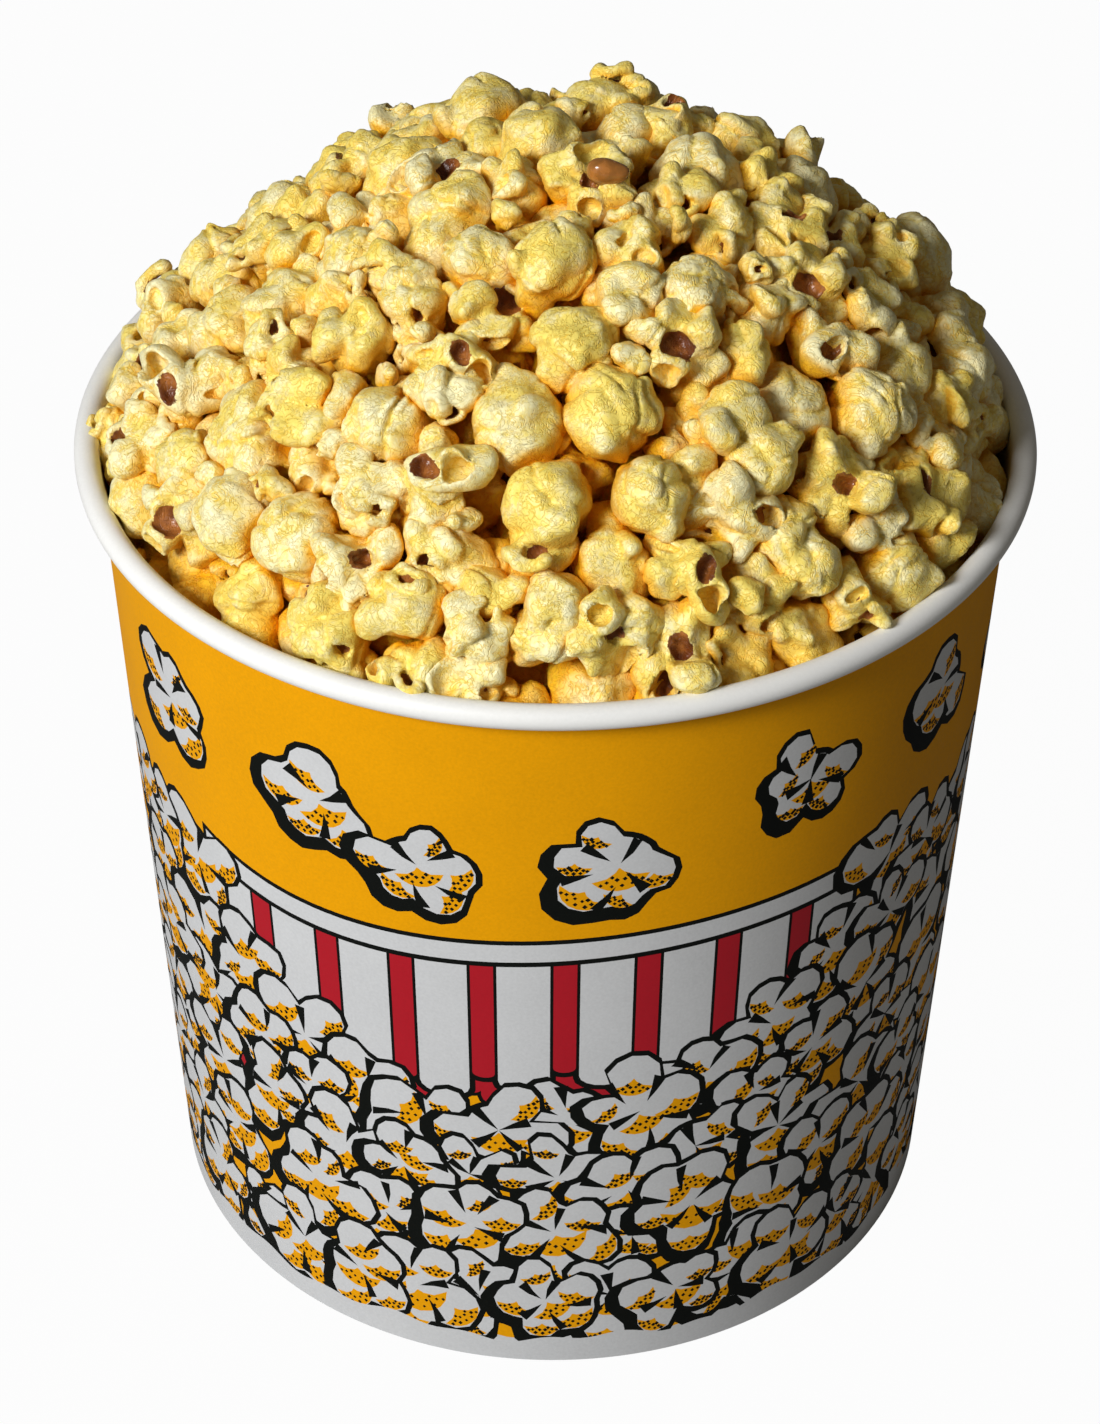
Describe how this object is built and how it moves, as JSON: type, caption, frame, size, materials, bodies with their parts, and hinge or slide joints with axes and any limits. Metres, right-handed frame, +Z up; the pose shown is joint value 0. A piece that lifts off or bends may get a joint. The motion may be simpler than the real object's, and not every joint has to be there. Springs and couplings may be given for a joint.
{
  "type": "popcorn bucket",
  "caption": "Large tapered paperboard tub with a rolled rim, printed outside, filled and heaped high with buttered popcorn.",
  "frame": {"origin": "centre of the foot ring, on the plane the tub stands on", "axes": "+Z up along the tub's axis, -Y towards the printed front, +Y towards the glued side seam, +X to the right of the front"},
  "size_m": [0.202, 0.202, 0.2573],
  "materials": {
    "printed_board": "satin",
    "plain_board": "matte",
    "popcorn": "matte"
  },
  "bodies": {
    "root": {"bucket_wall": "printed_board", "bucket_base": "plain_board", "popcorn_heap": "popcorn"}
  },
  "joints": []
}
